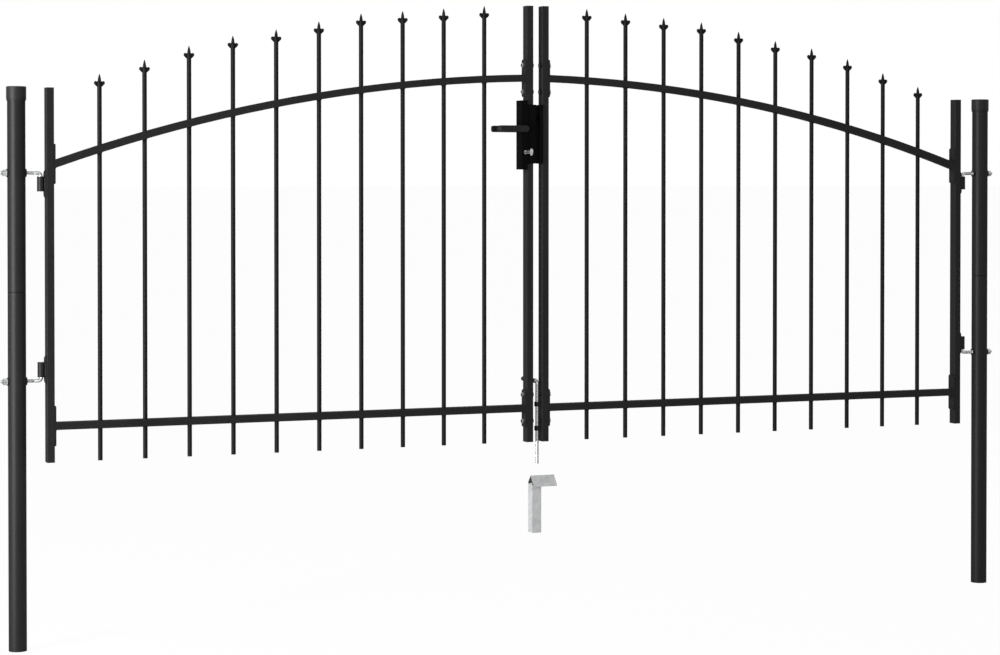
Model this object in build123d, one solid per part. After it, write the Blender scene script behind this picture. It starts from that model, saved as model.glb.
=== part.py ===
from build123d import *
import os
from math import sqrt

# Double fence gate, in millimetres.
# X runs along the gate, Y away from the side that is looked at, Z up.
# The origin is the centre of the left post's foot.

# Posts
post_span = 3000.0
post_length = 1500.0
post_diameter = 48.0
post_wall = 2.0
post_joint_drop = 546.0
post_joint_edge = 0.8
spigot_length = 60.0
cap_diameter = 53.0
cap_height = 38.0
cap_crown = 3.0
cap_edge = 2.5
cap_taper = 6.0

# Leaf outline
stile_drop = 2.0
outer_stile_length = 1000.0
inner_stile_rise = 252.5
meeting_gap = 28.5
stile_width = 20.0
stile_depth = 30.0
stile_wall = 1.5
stile_corner = 1.2
plug_lip = 2.0
plug_depth = 14.0

# Rails: a straight one below, and an arched one above that still rises where the leaves meet
rail_height = 20.0
rail_depth = 30.0
rail_wall = 1.5
bottom_rail_rise = 97.0
crown_drop = 206.0
arch_radius = 4445.0
arch_beyond = 71.5
flange_height = 107.0
flange_thickness = 4.0
flange_corner = 6.0

# Round bars with spear tips, which rise in uneven steps from the outer stile to the inner one
bar_diameter = 12.5
bar_end_share = 1.1
first_tip_rise = 38.5
tip_step = 10.0
tip_step_shares = (4, 4, 3, 2, 2.5, 2.5, 1, 1, 1)
tip_height = 34.5
tip_knob_rise = 10.5
tip_knob_diameter = 9.4
tip_knob_span = 30.0
tip_ball_diameter = 14.0
tip_arm_thickness = 7.0
tip_spike_base = 9.6
tip_spike_belly = 7.8
tip_point_diameter = 1.0

# Bolts that hold the rail flanges to the inner stiles
flange_bolt_diameter = 8.0
flange_bolt_spacing = 76.0
flange_bolt_head = 5.0
flange_bolt_flats = 13.0
flange_nut_height = 6.5
flange_bolt_tail = 1.5

# Hinges: bent bolts through the posts, and barrels on plates on the outer stiles
hinge_reach = 65.0
upper_bolt_drop = 227.5
lower_bolt_rise = 219.0
hinge_bolt_diameter = 10.0
hinge_bend = 9.0
hinge_bolt_stub = 7.0
hinge_nut_height = 9.0
hinge_nut_flats = 17.0
hinge_washer_diameter = 20.0
hinge_washer_thickness = 2.0
saddle_diameter = 22.0
saddle_thickness = 2.0
barrel_diameter = 20.0
barrel_height = 40.0
hinge_plate_height = 72.0
hinge_plate_thickness = 3.0
hinge_plate_corner = 13.0
barrel_web = 13.0

# Lock on the left leaf, beside its inner stile
lock_below_flange = 10.5
case_width = 18.5
case_depth = 40.0
case_length = 198.0
case_wall = 2.0
forend_length = 169.0
forend_rise = 2.5
forend_thickness = 6.0
forend_flange = 3.0
spindle_above = 17.5
spindle_size = 8.0
cylinder_drop = 67.0
cylinder_offset = 1.5
cylinder_diameter = 10.5
cylinder_proud = 4.0
plug_diameter = 8.0
plug_length = 22.0
latch_above = 30.0
latch_depth = 10.0
latch_height = 20.0
latch_reach = 5.0
latch_bevel = 6.0

# Keep on the right leaf, facing the lock
keep_thickness = 6.75
keep_depth = 40.0
keep_pocket_play = 0.8

# Levers
lever_length = 85.0
lever_height = 19.0
lever_tip_height = 18.5
lever_tip_round = 8.0
lever_thickness = 9.0
lever_standoff = 6.0
lever_neck_diameter = 16.0
lever_return = 19.0
lever_bend = 10.0
lever_edge = 2.0

# Key
key_thickness = 2.2
key_blade_height = 6.0
key_shank_height = 7.5
key_shank_length = 34.5
key_bow_height = 20.0
key_bow_length = 16.0
key_bow_corner = 7.5
key_ring_hole = 4.0

# Drop bolt on the right leaf
drop_rod_diameter = 10.0
drop_rod_offset = 3.5
drop_rod_below = 64.0
drop_rod_above = 66.0
drop_handle_length = 105.0
drop_bend = 8.0
grip_wall = 1.5
grip_start = 9.0
grip_edge = 2.0
guide_rise = 38.0
guide_spacing = 69.5
guide_tall = 13.0
guide_wall = 2.5
guide_arm = 14.0

# Ground catch: a bent ramp on an angle stake
catch_below_leaf = 94.0
catch_left_offset = -30.5
catch_ridge_front = 32.0
catch_length = 73.0
catch_slope_out = 22.0
catch_slope_down = 26.0
catch_back_share = 0.75
catch_sheet = 3.0
stake_length = 163.5
stake_drop = 15.0
stake_side_drop = 24.0
stake_width = 28.0
stake_depth = 30.0
stake_front = 13.0
stake_sheet = 3.0

# Fits: fixed pieces in one another, running pieces, and the overrun of every cut
fit_clearance = 0.15
run_clearance = 0.3
plug_clearance = 0.1
overrun = 5.0

# Places worked out from the sizes, along the gate and then upwards
middle = post_span / 2
post_radius = post_diameter / 2
bolt_radius = hinge_bolt_diameter / 2
bar_radius = bar_diameter / 2
outer_stile_x = hinge_reach + barrel_diameter / 2 + hinge_plate_thickness + stile_width / 2
inner_stile_x = middle - meeting_gap / 2 - stile_width / 2
rail_start = outer_stile_x + stile_width / 2 + flange_thickness
rail_end = inner_stile_x - stile_width / 2 - flange_thickness
bar_pitch = (inner_stile_x - outer_stile_x) / (len(tip_step_shares) + 2 * bar_end_share)
bar_places = [outer_stile_x + bar_pitch * (bar_end_share + i) for i in range(len(tip_step_shares) + 1)]
post_joint_height = post_length - post_joint_drop
outer_stile_top = post_length - stile_drop
leaf_bottom = outer_stile_top - outer_stile_length
inner_stile_top = outer_stile_top + inner_stile_rise
upper_bolt_height = outer_stile_top - upper_bolt_drop
lower_bolt_height = leaf_bottom + lower_bolt_rise
bottom_rail_height = leaf_bottom + bottom_rail_rise
arch_centre_x = middle + arch_beyond
arch_centre_height = inner_stile_top - crown_drop - arch_radius
first_tip = outer_stile_top + first_tip_rise
tip_heights = [first_tip + tip_step * sum(tip_step_shares[:i]) for i in range(len(bar_places))]

nodes = {}


def add_node(name, *solids):
    nodes[name] = solids[0] if len(solids) == 1 else Compound(children=list(solids))


def mirrored(shape):
    return mirror(shape, about=Plane.YZ.offset(middle))


def arch_height(x, radius=arch_radius):
    return arch_centre_height + sqrt(radius ** 2 - (x - arch_centre_x) ** 2)


def rod_x(radius, start, end, y, z):
    return Pos((start + end) / 2, y, z) * Rot(0, 90, 0) * Cylinder(radius, end - start)


def rod_y(radius, start, end, x, z):
    return Pos(x, (start + end) / 2, z) * Rot(90, 0, 0) * Cylinder(radius, end - start)


def rod_z(radius, start, end, x, y):
    return Pos(x, y, (start + end) / 2) * Cylinder(radius, end - start)


def block(x0, x1, y0, y1, z0, z1):
    return Pos((x0 + x1) / 2, (y0 + y1) / 2, (z0 + z1) / 2) * Box(x1 - x0, y1 - y0, z1 - z0)


def bend(radius, bend_radius, way):
    turned = revolve(Pos(bend_radius, 0, 0) * Circle(radius), Axis.Y, 90)
    return turned if way > 0 else mirror(turned, about=Plane.XY)


def hex_x(flats, start, end, y, z):
    outline = Plane.YZ * RegularPolygon(flats / 2, 6, major_radius=False)
    return Pos(start, y, z) * extrude(outline, end - start)


def profile_y(edges, half_depth):
    return extrude(make_face(edges), half_depth, both=True)


# Posts: two lengths of round tube, the upper one with a spigot that stands in the lower one
def post_lower(x):
    tube = rod_z(post_radius, 0, post_joint_height, x, 0)
    tube = chamfer(tube.edges().group_by(Axis.Z)[-1], post_joint_edge)
    tube -= rod_z(post_radius - post_wall, -overrun, post_joint_height + overrun, x, 0)
    hole = rod_x(bolt_radius + run_clearance, x - post_diameter, x + post_diameter, 0, lower_bolt_height)
    return tube - hole


def post_upper(x):
    top = post_length - cap_crown
    spigot_radius = post_radius - post_wall - fit_clearance
    spigot_foot = post_joint_height - spigot_length
    spigot_head = post_joint_height + spigot_length
    tube = rod_z(post_radius, post_joint_height, top, x, 0)
    tube = chamfer(tube.edges().group_by(Axis.Z)[0], post_joint_edge)
    tube -= rod_z(post_radius - post_wall, post_joint_height - overrun, top + overrun, x, 0)
    tube += rod_z(post_radius - post_wall, post_joint_height, spigot_head, x, 0)
    tube += rod_z(spigot_radius, spigot_foot, post_joint_height, x, 0)
    tube -= rod_z(spigot_radius - post_wall, spigot_foot - overrun, spigot_head + overrun, x, 0)
    hole = rod_x(bolt_radius + run_clearance, x - post_diameter, x + post_diameter, 0, upper_bolt_height)
    return tube - hole


def post_cap(x):
    skirt_foot = post_length - cap_height
    cap = rod_z(cap_diameter / 2, skirt_foot + cap_taper, post_length, x, 0)
    cap = fillet(cap.edges().group_by(Axis.Z)[-1], cap_edge)
    lower_radius = post_radius + (cap_diameter / 2 - post_radius) / 2
    cone = Cone(lower_radius, cap_diameter / 2, cap_taper, align=(Align.CENTER, Align.CENTER, Align.MIN))
    cap += Pos(x, 0, skirt_foot) * cone
    return cap - rod_z(post_radius + fit_clearance, skirt_foot - overrun, post_length - cap_crown, x, 0)


for side, x in (("left", 0), ("right", post_span)):
    add_node(side + "_post_lower", post_lower(x))
    add_node(side + "_post_upper", post_upper(x))
    add_node(side + "_post_cap", post_cap(x))


# Hinge bolts: the upper pin points down and the lower one up, so that neither can leave its barrel
saddle_end = -post_radius - saddle_thickness
washer_end = saddle_end - hinge_washer_thickness
nut_end = washer_end - hinge_nut_height


def barrel_span(bolt_height, way):
    near = bolt_height + way * (hinge_bend + run_clearance)
    far = near + way * barrel_height
    return min(near, far), max(near, far)


def hinge_bolt(bolt_height, way):
    low, high = barrel_span(bolt_height, way)
    bend_x = hinge_reach - hinge_bend
    bend_height = bolt_height + way * hinge_bend
    bolt = rod_x(bolt_radius, nut_end - hinge_bolt_stub, bend_x, 0, bolt_height)
    bolt += Pos(bend_x, 0, bend_height) * bend(bolt_radius, hinge_bend, way)
    return bolt + rod_z(bolt_radius, min(low, bend_height), max(high, bend_height), hinge_reach, 0)


def hinge_saddles(bolt_height):
    reach = post_radius + saddle_thickness
    low = bolt_height - saddle_diameter
    high = bolt_height + saddle_diameter
    cut = rod_z(post_radius + fit_clearance, low, high, 0, 0)
    cut += rod_x(bolt_radius + fit_clearance, -post_diameter, post_diameter, 0, bolt_height)
    return [rod_x(saddle_diameter / 2, start, start + reach, 0, bolt_height) - cut for start in (-reach, 0)]


def hinge_washer(bolt_height):
    washer = rod_x(hinge_washer_diameter / 2, washer_end, saddle_end, 0, bolt_height)
    return washer - rod_x(bolt_radius + fit_clearance, -post_diameter, 0, 0, bolt_height)


def hinge_nut(bolt_height):
    nut = hex_x(hinge_nut_flats, nut_end, washer_end, 0, bolt_height)
    return nut - rod_x(bolt_radius + fit_clearance, -post_diameter, 0, 0, bolt_height)


def hinge_barrel(bolt_height, way):
    low, high = barrel_span(bolt_height, way)
    centre = (low + high) / 2
    stile_face = outer_stile_x - stile_width / 2
    plate_face = stile_face - hinge_plate_thickness
    barrel = rod_z(barrel_diameter / 2, low, high, hinge_reach, 0)
    barrel += block(hinge_reach, plate_face, -barrel_web / 2, barrel_web / 2, low, high)
    outline = Plane.YZ * RectangleRounded(stile_depth, hinge_plate_height, hinge_plate_corner)
    barrel += Pos(plate_face, 0, centre) * extrude(outline, hinge_plate_thickness)
    return barrel - rod_z(bolt_radius + run_clearance, low - overrun, high + overrun, hinge_reach, 0)


hinges = ((upper_bolt_height, -1), (lower_bolt_height, 1))
hinge_bolts = [hinge_bolt(*hinge) for hinge in hinges]
saddles = [saddle for height, way in hinges for saddle in hinge_saddles(height)]
hinge_nuts = [make(height) for height, way in hinges for make in (hinge_washer, hinge_nut)]
hinge_barrels = [hinge_barrel(*hinge) for hinge in hinges]


# Leaf frame, made for the left leaf and mirrored for the right one
def flange_bolt_heights():
    centres = (bottom_rail_height, arch_height(rail_end))
    return [z + way * flange_bolt_spacing / 2 for z in centres for way in (-1, 1)]


def stile(x, top):
    outline = RectangleRounded(stile_width, stile_depth, stile_corner)
    bore = Rectangle(stile_width - 2 * stile_wall, stile_depth - 2 * stile_wall)
    length = top - leaf_bottom - 2 * plug_lip
    return Pos(x, 0, leaf_bottom + plug_lip) * extrude(outline - bore, length)


def stile_plug(x, end, way):
    lip = extrude(RectangleRounded(stile_width, stile_depth, stile_corner), plug_lip)
    loose = 2 * (stile_wall + fit_clearance)
    insert = extrude(Rectangle(stile_width - loose, stile_depth - loose), plug_lip + plug_depth)
    turn = 0 if way < 0 else 180
    return Pos(x, 0, end) * Rot(turn, 0, 0) * (lip + insert)


def flange_holes():
    start = rail_end - overrun
    end = inner_stile_x + stile_width / 2 + overrun
    radius = flange_bolt_diameter / 2 + fit_clearance
    return [rod_x(radius, start, end, 0, z) for z in flange_bolt_heights()]


def arch_band(start, end, half_height):
    def on_arch(x, radius):
        return (x, 0, arch_height(x, radius))

    def arc(radius):
        return ThreePointArc(*[on_arch(x, radius) for x in (start, (start + end) / 2, end)])

    lower = arch_radius - half_height
    upper = arch_radius + half_height
    ends = [Line(on_arch(x, lower), on_arch(x, upper)) for x in (start, end)]
    return [arc(lower), ends[1], arc(upper), ends[0]]


def bar_holes(height_at):
    radius = bar_radius + fit_clearance
    reach = 2 * rail_height
    return [rod_z(radius, height_at(x) - reach, height_at(x) + reach, x, 0) for x in bar_places]


def top_rail():
    rail = profile_y(arch_band(rail_start, rail_end, rail_height / 2), rail_depth / 2)
    hollow = arch_band(rail_start - overrun, rail_end + overrun, rail_height / 2 - rail_wall)
    rail -= profile_y(hollow, rail_depth / 2 - rail_wall)
    return rail - bar_holes(arch_height)


def bottom_rail():
    half = rail_depth / 2
    inner = half - rail_wall
    low = bottom_rail_height - rail_height / 2
    high = bottom_rail_height + rail_height / 2
    rail = block(rail_start, rail_end, -half, half, low, high)
    rail -= block(rail_start - overrun, rail_end + overrun, -inner, inner, low + rail_wall, high - rail_wall)
    return rail - bar_holes(lambda x: bottom_rail_height)


def rail_flange(x0, centre):
    outline = Plane.YZ * RectangleRounded(stile_depth, flange_height, flange_corner)
    return Pos(x0, 0, centre) * extrude(outline, flange_thickness)


def rail_flanges():
    near = rail_start - flange_thickness
    plates = []
    for x0, x in ((near, rail_start), (rail_end, rail_end)):
        plates.append(rail_flange(x0, bottom_rail_height))
        plates.append(rail_flange(x0, arch_height(x)))
    return [plate - flange_holes() for plate in plates]


def flange_bolt(z):
    face = inner_stile_x + stile_width / 2
    end = rail_end - flange_nut_height - flange_bolt_tail
    head = hex_x(flange_bolt_flats, face, face + flange_bolt_head, 0, z)
    return head + rod_x(flange_bolt_diameter / 2, end, face, 0, z)


def flange_nut(z):
    nut = hex_x(flange_bolt_flats, rail_end - flange_nut_height, rail_end, 0, z)
    hole = rod_x(flange_bolt_diameter / 2 + fit_clearance, rail_end - rail_height, rail_end + overrun, 0, z)
    return nut - hole


# Spear tip: a casting with a round spike over a ball, and an arm with a knob to either side
def tip_spike():
    belly = (tip_spike_belly / 2, 0, (tip_knob_rise + tip_height) / 2)
    base = (tip_spike_base / 2, 0, tip_knob_rise)
    point = (tip_point_diameter / 2, 0, tip_height)
    return revolve(make_face([
        Line((0, 0, 0), (bar_radius, 0, 0)),
        Line((bar_radius, 0, 0), (bar_radius, 0, tip_knob_rise)),
        Line((bar_radius, 0, tip_knob_rise), base),
        ThreePointArc(base, belly, point),
        Line(point, (0, 0, tip_height)),
        Line((0, 0, tip_height), (0, 0, 0)),
    ]), Axis.Z)


def spear_tip():
    knob = tip_knob_diameter / 2
    knob_x = tip_knob_span / 2 - knob
    slant = knob / sqrt(2)
    arm_top = tip_knob_rise + tip_arm_thickness / 2
    half_outline = [(bar_radius, 0), (knob_x + slant, tip_knob_rise - slant), (knob_x, arm_top)]
    outline = half_outline + [(-x, z) for x, z in half_outline[::-1]]
    tip = tip_spike() + Pos(0, 0, tip_knob_rise) * Sphere(tip_ball_diameter / 2)
    tip += profile_y(Polyline([(x, 0, z) for x, z in outline], close=True), tip_arm_thickness / 2)
    for way in (-1, 1):
        tip += Pos(way * knob_x, 0, tip_knob_rise) * Sphere(knob)
    return tip


outer_stile = stile(outer_stile_x, outer_stile_top)
inner_stile = stile(inner_stile_x, inner_stile_top) - flange_holes()
rails = {"top_rail": top_rail(), "bottom_rail": bottom_rail()}
bar_tops = [height - tip_height for height in tip_heights]
bars = [rod_z(bar_radius, leaf_bottom, top, x, 0) for x, top in zip(bar_places, bar_tops)]
one_tip = spear_tip()
flanges = rail_flanges()
flange_bolts = [make(z) for z in flange_bolt_heights() for make in (flange_bolt, flange_nut)]
stile_ends = ((outer_stile_x, outer_stile_top), (inner_stile_x, inner_stile_top))
stile_plugs = [stile_plug(x, leaf_bottom, -1) for x, top in stile_ends]
stile_plugs += [stile_plug(x, top, 1) for x, top in stile_ends]

# Lock: a narrow sheet case on the stile, with a channel round the stile towards the gap
stile_inside = inner_stile_x - stile_width / 2
stile_outside = inner_stile_x + stile_width / 2
case_left = stile_inside - case_width
lock_x = stile_inside - case_width / 2
lock_top = arch_height(rail_end) - flange_height / 2 - lock_below_flange
lock_height = lock_top - case_length / 2
forend_low = lock_height + forend_rise - forend_length / 2
spindle_height = lock_height + spindle_above
cylinder_x = lock_x + cylinder_offset
cylinder_height = spindle_height - cylinder_drop
latch_centre = spindle_height + latch_above
case_front = -case_depth / 2
spindle_hole = spindle_size / sqrt(2) + run_clearance
latch_start = stile_inside - case_wall
latch_end = post_span - stile_outside - keep_thickness + latch_reach


def latch_way(play, start, end):
    half_depth = latch_depth / 2 + play
    half_height = latch_height / 2 + play
    return block(start, end, -half_depth, half_depth, latch_centre - half_height, latch_centre + half_height)


def lock_case():
    half = case_depth / 2
    low = lock_height - case_length / 2
    case = block(case_left, stile_inside, -half, half, low, low + case_length)
    inner = half - case_wall
    case -= block(case_left + case_wall, stile_inside - case_wall, -inner, inner, low + case_wall,
                  low + case_length - case_wall)
    case -= rod_y(spindle_hole, -case_depth, case_depth, lock_x, spindle_height)
    case -= rod_y(cylinder_diameter / 2 + fit_clearance, -case_depth, case_depth, cylinder_x, cylinder_height)
    return case - latch_way(run_clearance, lock_x, stile_outside)


def lock_forend():
    half = stile_depth / 2
    outer = half + forend_flange
    high = forend_low + forend_length
    channel = block(stile_inside, stile_outside + forend_thickness, -outer, outer, forend_low, high)
    channel -= block(stile_inside - overrun, stile_outside, -half, half, forend_low - overrun, high + overrun)
    return channel - latch_way(run_clearance, stile_inside, stile_outside + 2 * forend_thickness)


plug_front = case_front - cylinder_proud
plug_back = plug_front + plug_length


def lock_cylinder():
    body = rod_y(cylinder_diameter / 2, plug_front, -plug_front, cylinder_x, cylinder_height)
    bore_radius = plug_diameter / 2 + plug_clearance
    bore_end = plug_back + plug_clearance
    return body - rod_y(bore_radius, plug_front - overrun, bore_end, cylinder_x, cylinder_height)


def cylinder_plug():
    half_slot = key_thickness / 2 + plug_clearance
    half_tall = key_blade_height / 2 + plug_clearance
    plug = rod_y(plug_diameter / 2, plug_front, plug_back, cylinder_x, cylinder_height)
    slot = block(cylinder_x - half_slot, cylinder_x + half_slot, plug_front - overrun, plug_back + overrun,
                 cylinder_height - half_tall, cylinder_height + half_tall)
    return plug - slot


def key():
    half = key_thickness / 2
    shank_end = plug_front - key_shank_length
    bow_middle = shank_end - key_bow_length / 2
    blade_half = key_blade_height / 2
    shape = block(cylinder_x - half, cylinder_x + half, plug_front, plug_back, cylinder_height - blade_half,
                  cylinder_height + blade_half)
    shape += block(cylinder_x - half, cylinder_x + half, shank_end - key_bow_length / 2, plug_front,
                   cylinder_height - key_shank_height / 2, cylinder_height + key_shank_height / 2)
    outline = Plane.YZ * RectangleRounded(key_bow_length, key_bow_height, key_bow_corner)
    shape += Pos(cylinder_x - half, bow_middle, cylinder_height) * extrude(outline, key_thickness)
    ring = extrude(Plane.YZ * Circle(key_ring_hole / 2), key_thickness, both=True)
    ring_place = bow_middle - key_bow_length / 2 + key_ring_hole
    return shape - Pos(cylinder_x, ring_place, cylinder_height) * ring


# Lever: a flat arm on a short round neck, rounded at both ends and bent back at its tip
lever_back = case_front - lever_standoff
lever_front = lever_back - lever_thickness


def lever_plan():
    root = lever_height
    bend_x = lever_bend - lever_length
    inner_x = lever_thickness - lever_length
    inner_bend = lever_bend - lever_thickness
    return_end = lever_front + lever_return
    quarter_share = 1 - sqrt(2) / 2
    outer_mid = (lever_bend * quarter_share - lever_length, lever_front + lever_bend * quarter_share)
    inner_mid = (inner_x + inner_bend * quarter_share, lever_back + inner_bend * quarter_share)
    return make_face([
        Line((root, lever_front), (bend_x, lever_front)),
        ThreePointArc((bend_x, lever_front), outer_mid, (-lever_length, lever_front + lever_bend)),
        Line((-lever_length, lever_front + lever_bend), (-lever_length, return_end)),
        Line((-lever_length, return_end), (inner_x, return_end)),
        Line((inner_x, return_end), (inner_x, lever_back + inner_bend)),
        ThreePointArc((inner_x, lever_back + inner_bend), inner_mid, (inner_x + inner_bend, lever_back)),
        Line((inner_x + inner_bend, lever_back), (root, lever_back)),
        Line((root, lever_back), (root, lever_front)),
    ])


def lever_face():
    half = lever_height / 2
    tip_half = lever_tip_height / 2
    tip_x = lever_tip_round - lever_length
    return [
        ThreePointArc((0, 0, half), (half, 0, 0), (0, 0, -half)),
        Line((0, 0, -half), (tip_x, 0, -tip_half)),
        ThreePointArc((tip_x, 0, -tip_half), (-lever_length, 0, 0), (tip_x, 0, tip_half)),
        Line((tip_x, 0, tip_half), (0, 0, half)),
    ]


def lever():
    arm = Pos(0, 0, -lever_height) * extrude(lever_plan(), 2 * lever_height)
    arm &= profile_y(lever_face(), -2 * lever_front)
    arm = fillet(arm.edges().group_by(Axis.Y)[0], lever_edge)
    neck_end = case_front - run_clearance
    arm += rod_y(lever_neck_diameter / 2, lever_back - lever_edge, neck_end, 0, 0)
    half = spindle_size / 2 + fit_clearance
    arm -= block(-half, half, lever_back - lever_thickness / 2, neck_end + overrun, -half, half)
    return Pos(lock_x, 0, spindle_height) * arm


def lever_spindle():
    half = spindle_size / 2
    end = lever_back - lever_thickness / 2 + fit_clearance
    return block(lock_x - half, lock_x + half, end, -end, spindle_height - half, spindle_height + half)


# Latch: its nose is bevelled on the side that meets the keep first when the leaf swings shut
def latch_bolt():
    bolt = latch_way(0, latch_start, latch_end)
    nose = bolt.edges().filter_by(Axis.Z).group_by(Axis.X)[-1].sort_by(Axis.Y)[0]
    return chamfer(nose, latch_bevel)


front_lever = lever()
inner_stile_left = inner_stile - latch_way(run_clearance, case_left, middle)

# Keep: a plate on the right inner stile, with a pocket that takes the latch
keep_face = post_span - stile_outside
half_keep = keep_depth / 2
keep_start = keep_face - keep_thickness
lock_keep = block(keep_start, keep_face, -half_keep, half_keep, forend_low, forend_low + forend_length)
lock_keep -= latch_way(keep_pocket_play, middle, keep_face + overrun)

# Drop bolt: a bent rod in two eyes on the right inner stile, with a closed sleeve on its handle
rod_radius = drop_rod_diameter / 2
rod_x_place = middle + drop_rod_offset
guide_heights = (leaf_bottom + guide_rise, leaf_bottom + guide_rise + guide_spacing)
drop_rod_top = guide_heights[1] + drop_rod_above
drop_bend_height = drop_rod_top - drop_bend
drop_bolt = rod_z(rod_radius, leaf_bottom - drop_rod_below, drop_bend_height, rod_x_place, 0)
drop_bolt += Pos(rod_x_place, drop_bend, drop_bend_height) * Rot(0, 0, -90) * bend(rod_radius, drop_bend, -1)
handle_end = drop_handle_length - grip_wall
drop_bolt += rod_y(rod_radius, drop_bend, handle_end, rod_x_place, drop_rod_top)


def drop_bolt_grip():
    grip = rod_y(rod_radius + grip_wall, grip_start, drop_handle_length, rod_x_place, drop_rod_top)
    grip = fillet(grip.edges().group_by(Axis.Y)[-1], grip_edge)
    bore_radius = rod_radius + fit_clearance
    return grip - rod_y(bore_radius, grip_start - overrun, handle_end, rod_x_place, drop_rod_top)


def drop_guide(height):
    low = height - guide_tall / 2
    high = height + guide_tall / 2
    eye = rod_z(rod_radius + run_clearance + guide_wall, low, high, rod_x_place, 0)
    eye += block(rod_x_place, keep_face, -guide_arm / 2, guide_arm / 2, low, high)
    return eye - rod_z(rod_radius + run_clearance, low - overrun, high + overrun, rod_x_place, 0)


# Ground catch, which stands by itself just in front of where the drop bolt comes down
catch_left = middle + catch_left_offset
catch_right = catch_left + catch_length
stake_right = catch_left + stake_width
ridge_y = -catch_ridge_front
ridge_height = leaf_bottom - catch_below_leaf
stake_bottom = ridge_height - stake_length


def catch_roof(lift, reach):
    out = catch_slope_out * reach
    down = catch_slope_down * reach
    top = ridge_height - lift
    back_out = out * catch_back_share
    back_down = down * catch_back_share
    return [(ridge_y - out, top - down), (ridge_y, top), (ridge_y + back_out, top - back_down)]


def catch_prism(points, start, end):
    outline = make_face(Polyline([(start, y, z) for y, z in points], close=True))
    return extrude(outline, end - start, dir=(1, 0, 0))


slope_length = sqrt(catch_slope_out ** 2 + catch_slope_down ** 2)
sheet_drop = catch_sheet * slope_length / catch_slope_out
catch_ramp = catch_prism(catch_roof(0, 1) + catch_roof(sheet_drop, 1)[::-1], catch_left, catch_right)

stake_y = ridge_y - stake_front
stake_top = ridge_height - stake_drop
stake = block(catch_left, stake_right, stake_y, stake_y + stake_depth, stake_bottom, stake_top)
stake -= block(catch_left + stake_sheet, stake_right + overrun, stake_y + stake_sheet,
               stake_y + stake_depth + overrun, stake_bottom - overrun, stake_top + overrun)
stake -= block(catch_left - overrun, catch_left + stake_sheet, stake_y + stake_sheet,
               stake_y + stake_depth + overrun, ridge_height - stake_side_drop, stake_top + overrun)
above_roof = catch_roof(sheet_drop, 2) + [(ridge_y, ridge_height + catch_length)]
stake -= catch_prism(above_roof, catch_left - overrun, stake_right + overrun)

# Nodes of the two leaves and of what stands in the ground
sides = (("left", lambda shape: shape, lambda x: x), ("right", mirrored, lambda x: post_span - x))
for side, placed, across in sides:
    add_node(side + "_hinge_bolts", *[placed(shape) for shape in hinge_bolts])
    add_node(side + "_hinge_saddles", *[placed(shape) for shape in saddles])
    add_node(side + "_hinge_nuts", *[placed(shape) for shape in hinge_nuts])
    add_node(side + "_hinge_barrels", *[placed(shape) for shape in hinge_barrels])
    add_node(side + "_outer_stile", placed(outer_stile))
    for name, rail in rails.items():
        add_node(side + "_" + name, placed(rail))
    add_node(side + "_bars", *[placed(shape) for shape in bars])
    tips = [Pos(across(x), 0, top) * one_tip for x, top in zip(bar_places, bar_tops)]
    add_node(side + "_spear_tips", *tips)
    add_node(side + "_rail_flanges", *[placed(shape) for shape in flanges])
    add_node(side + "_flange_bolts", *[placed(shape) for shape in flange_bolts])
    add_node(side + "_stile_plugs", *[placed(shape) for shape in stile_plugs])

add_node("left_inner_stile", inner_stile_left)
add_node("right_inner_stile", mirrored(inner_stile))
add_node("lock_case", lock_case())
add_node("lock_forend", lock_forend())
add_node("lock_cylinder", lock_cylinder())
add_node("cylinder_plug", cylinder_plug())
add_node("key", key())
add_node("front_lever", front_lever)
add_node("back_lever", mirror(front_lever, about=Plane.XZ))
add_node("lever_spindle", lever_spindle())
add_node("latch_bolt", latch_bolt())
add_node("lock_keep", lock_keep)
add_node("drop_bolt", drop_bolt)
add_node("drop_bolt_grip", drop_bolt_grip())
add_node("drop_bolt_guides", *[drop_guide(height) for height in guide_heights])
add_node("ground_catch_ramp", catch_ramp)
add_node("ground_catch_stake", stake)

os.makedirs("parts", exist_ok=True)
for name, shape in nodes.items():
    export_step(shape, os.path.join("parts", name + ".step"))
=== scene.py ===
import math

import bpy
from mathutils import Matrix, Vector


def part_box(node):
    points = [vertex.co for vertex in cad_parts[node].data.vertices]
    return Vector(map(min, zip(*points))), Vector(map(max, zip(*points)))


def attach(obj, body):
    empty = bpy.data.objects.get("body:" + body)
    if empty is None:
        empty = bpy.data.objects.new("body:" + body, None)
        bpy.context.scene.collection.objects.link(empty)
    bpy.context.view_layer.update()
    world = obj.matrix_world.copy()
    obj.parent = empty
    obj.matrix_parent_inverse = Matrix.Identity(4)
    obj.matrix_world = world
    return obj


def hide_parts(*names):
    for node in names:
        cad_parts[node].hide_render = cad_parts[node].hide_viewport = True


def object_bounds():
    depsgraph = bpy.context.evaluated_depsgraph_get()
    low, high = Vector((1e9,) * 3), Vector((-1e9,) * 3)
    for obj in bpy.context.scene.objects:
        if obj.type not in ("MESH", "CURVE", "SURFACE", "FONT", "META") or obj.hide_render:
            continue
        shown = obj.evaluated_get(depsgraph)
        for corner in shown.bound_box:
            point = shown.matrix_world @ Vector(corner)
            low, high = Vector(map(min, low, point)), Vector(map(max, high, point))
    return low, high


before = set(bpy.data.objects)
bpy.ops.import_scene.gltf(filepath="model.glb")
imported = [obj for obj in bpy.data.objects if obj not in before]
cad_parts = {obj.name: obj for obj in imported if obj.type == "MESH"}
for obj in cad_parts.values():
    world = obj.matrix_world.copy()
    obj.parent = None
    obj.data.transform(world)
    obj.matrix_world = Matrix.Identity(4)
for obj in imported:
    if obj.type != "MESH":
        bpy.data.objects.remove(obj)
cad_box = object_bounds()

# Posts: each is two lengths of round steel tube, the upper one standing in the lower one on a spigot.
# They are powder coated satin black, which leaves a fine orange peel, a few dull patches and specks of
# dust. A narrow groove is bumped into the joint between the two lengths, and painted shade darkens it.
black_paint = (0.0040, 0.0041, 0.0043, 1)
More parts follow.
